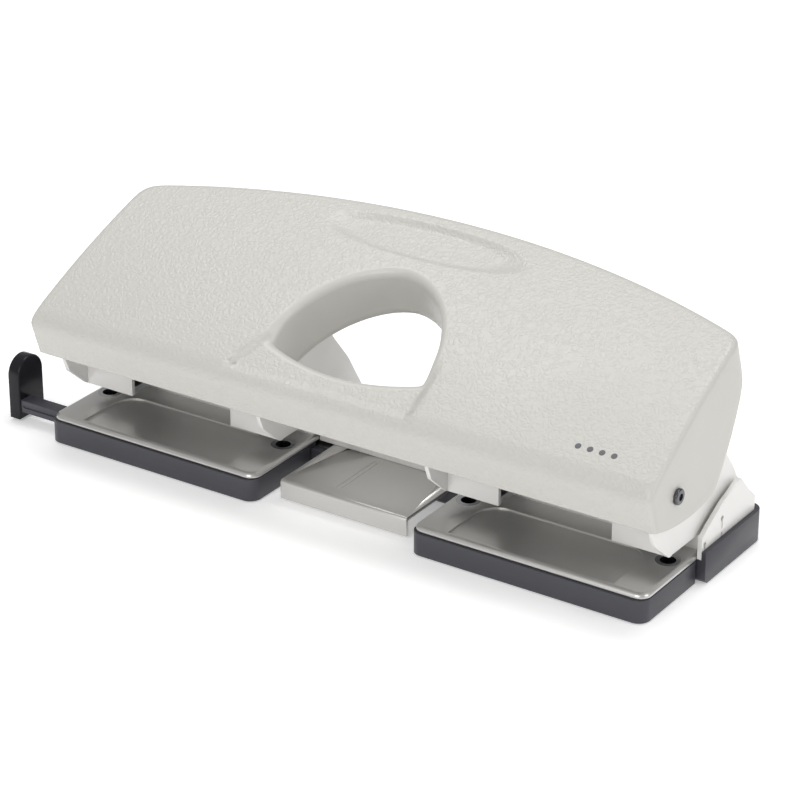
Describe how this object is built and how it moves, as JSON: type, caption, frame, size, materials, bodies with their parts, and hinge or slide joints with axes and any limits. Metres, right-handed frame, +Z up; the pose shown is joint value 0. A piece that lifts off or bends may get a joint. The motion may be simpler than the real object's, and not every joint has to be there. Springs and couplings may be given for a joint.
{
  "type": "hole_punch",
  "caption": "Long lever hole punch with linked twin-pin units, springs, dies, a sliding paper guide and drop-down chip trays.",
  "frame": {"origin": "centre of the underside of the anti-slip pad, on the table and on the middle line", "axes": "+X to the user's right along the punch, +Y away from the user towards the rear, +Z up"},
  "size_m": [0.2819, 0.0898, 0.0899],
  "materials": {
    "lever_plastic": "moulded light grey plastic with a fine leather grain",
    "white_steel": "light grey satin painted steel",
    "bare_steel": "plain zinc plated steel",
    "hard_steel": "ground hardened steel",
    "spring_wire": "drawn spring wire",
    "black_plastic": "black moulded plastic with a low sheen",
    "washer_plastic": "natural acetal plastic",
    "pad_rubber": "soft black rubber"
  },
  "bodies": {
    "base": {"anti_slip_pad": "pad_rubber", "base_plate": "bare_steel", "base_screws": "bare_steel", "centre_plate": "white_steel", "centre_plate_rivets": "bare_steel", "corner_feet": "pad_rubber", "die_ring_1": "hard_steel", "die_ring_2": "hard_steel", "die_ring_3": "hard_steel", "die_ring_4": "hard_steel", "guide_channel": "bare_steel", "left_frame_rivets": "bare_steel", "left_lower_pin_guides": "bare_steel", "left_pivot_shaft": "hard_steel", "left_pivot_washer": "washer_plastic", "left_punch_frame": "white_steel", "left_spacer_bar": "bare_steel", "left_stage_plate": "white_steel", "left_tray_hinge_pins": "hard_steel", "left_upper_pin_guide": "bare_steel", "rear_deck": "white_steel", "rear_pan": "black_plastic", "return_spring_1": "spring_wire", "return_spring_2": "spring_wire", "return_spring_3": "spring_wire", "return_spring_4": "spring_wire", "right_frame_rivets": "bare_steel", "right_lower_pin_guides": "bare_steel", "right_pivot_shaft": "hard_steel", "right_pivot_washer": "washer_plastic", "right_punch_frame": "white_steel", "right_spacer_bar": "bare_steel", "right_stage_plate": "white_steel", "right_tray_hinge_pins": "hard_steel", "right_upper_pin_guide": "bare_steel"},
    "lever": {"lever_cover": "lever_plastic", "left_pusher_ribs": "bare_steel", "right_pusher_ribs": "bare_steel", "left_pusher_rod": "hard_steel", "right_pusher_rod": "hard_steel"},
    "paper_guide": {"guide_bar": "black_plastic", "guide_stop": "black_plastic"},
    "left_tray": {"left_chip_tray": "black_plastic"},
    "right_tray": {"right_chip_tray": "black_plastic"},
    "pin_1": {"punch_pin_1": "hard_steel"},
    "pin_2": {"punch_pin_2": "hard_steel"},
    "pin_3": {"punch_pin_3": "hard_steel"},
    "pin_4": {"punch_pin_4": "hard_steel"}
  },
  "joints": [
    {"name": "lever_hinge", "type": "hinge", "parent": "base", "child": "lever", "pos_m": [0, -0.0426, 0.0435], "axis": [1, 0, 0], "range_deg": [-28, 0], "stiffness_Nm_per_rad": 1.5, "springref_deg": 11.46},
    {"name": "pin_1_slide", "type": "slide", "parent": "base", "child": "pin_1", "axis": [0, 0, 1], "range_m": [-0.0066, 0], "deforming": ["return_spring_1"]},
    {"name": "pin_2_slide", "type": "slide", "parent": "base", "child": "pin_2", "axis": [0, 0, 1], "range_m": [-0.0066, 0], "deforming": ["return_spring_2"]},
    {"name": "pin_3_slide", "type": "slide", "parent": "base", "child": "pin_3", "axis": [0, 0, 1], "range_m": [-0.0066, 0], "deforming": ["return_spring_3"]},
    {"name": "pin_4_slide", "type": "slide", "parent": "base", "child": "pin_4", "axis": [0, 0, 1], "range_m": [-0.0066, 0], "deforming": ["return_spring_4"]},
    {"name": "guide_slide", "type": "slide", "parent": "base", "child": "paper_guide", "axis": [-1, 0, 0], "range_m": [-0.016, 0.038]},
    {"name": "left_tray_hinge", "type": "hinge", "parent": "base", "child": "left_tray", "pos_m": [-0.08, -0.0194, 0.0031], "axis": [1, 0, 0], "range_deg": [0, 60]},
    {"name": "right_tray_hinge", "type": "hinge", "parent": "base", "child": "right_tray", "pos_m": [0.08, -0.0194, 0.0031], "axis": [1, 0, 0], "range_deg": [0, 60]}
  ],
  "couplings": [
    {"joint": "pin_1_slide", "follows": "lever_hinge", "m_per_rad": 0.013267},
    {"joint": "pin_2_slide", "follows": "lever_hinge", "m_per_rad": 0.013267},
    {"joint": "pin_3_slide", "follows": "lever_hinge", "m_per_rad": 0.013267},
    {"joint": "pin_4_slide", "follows": "lever_hinge", "m_per_rad": 0.013267}
  ]
}
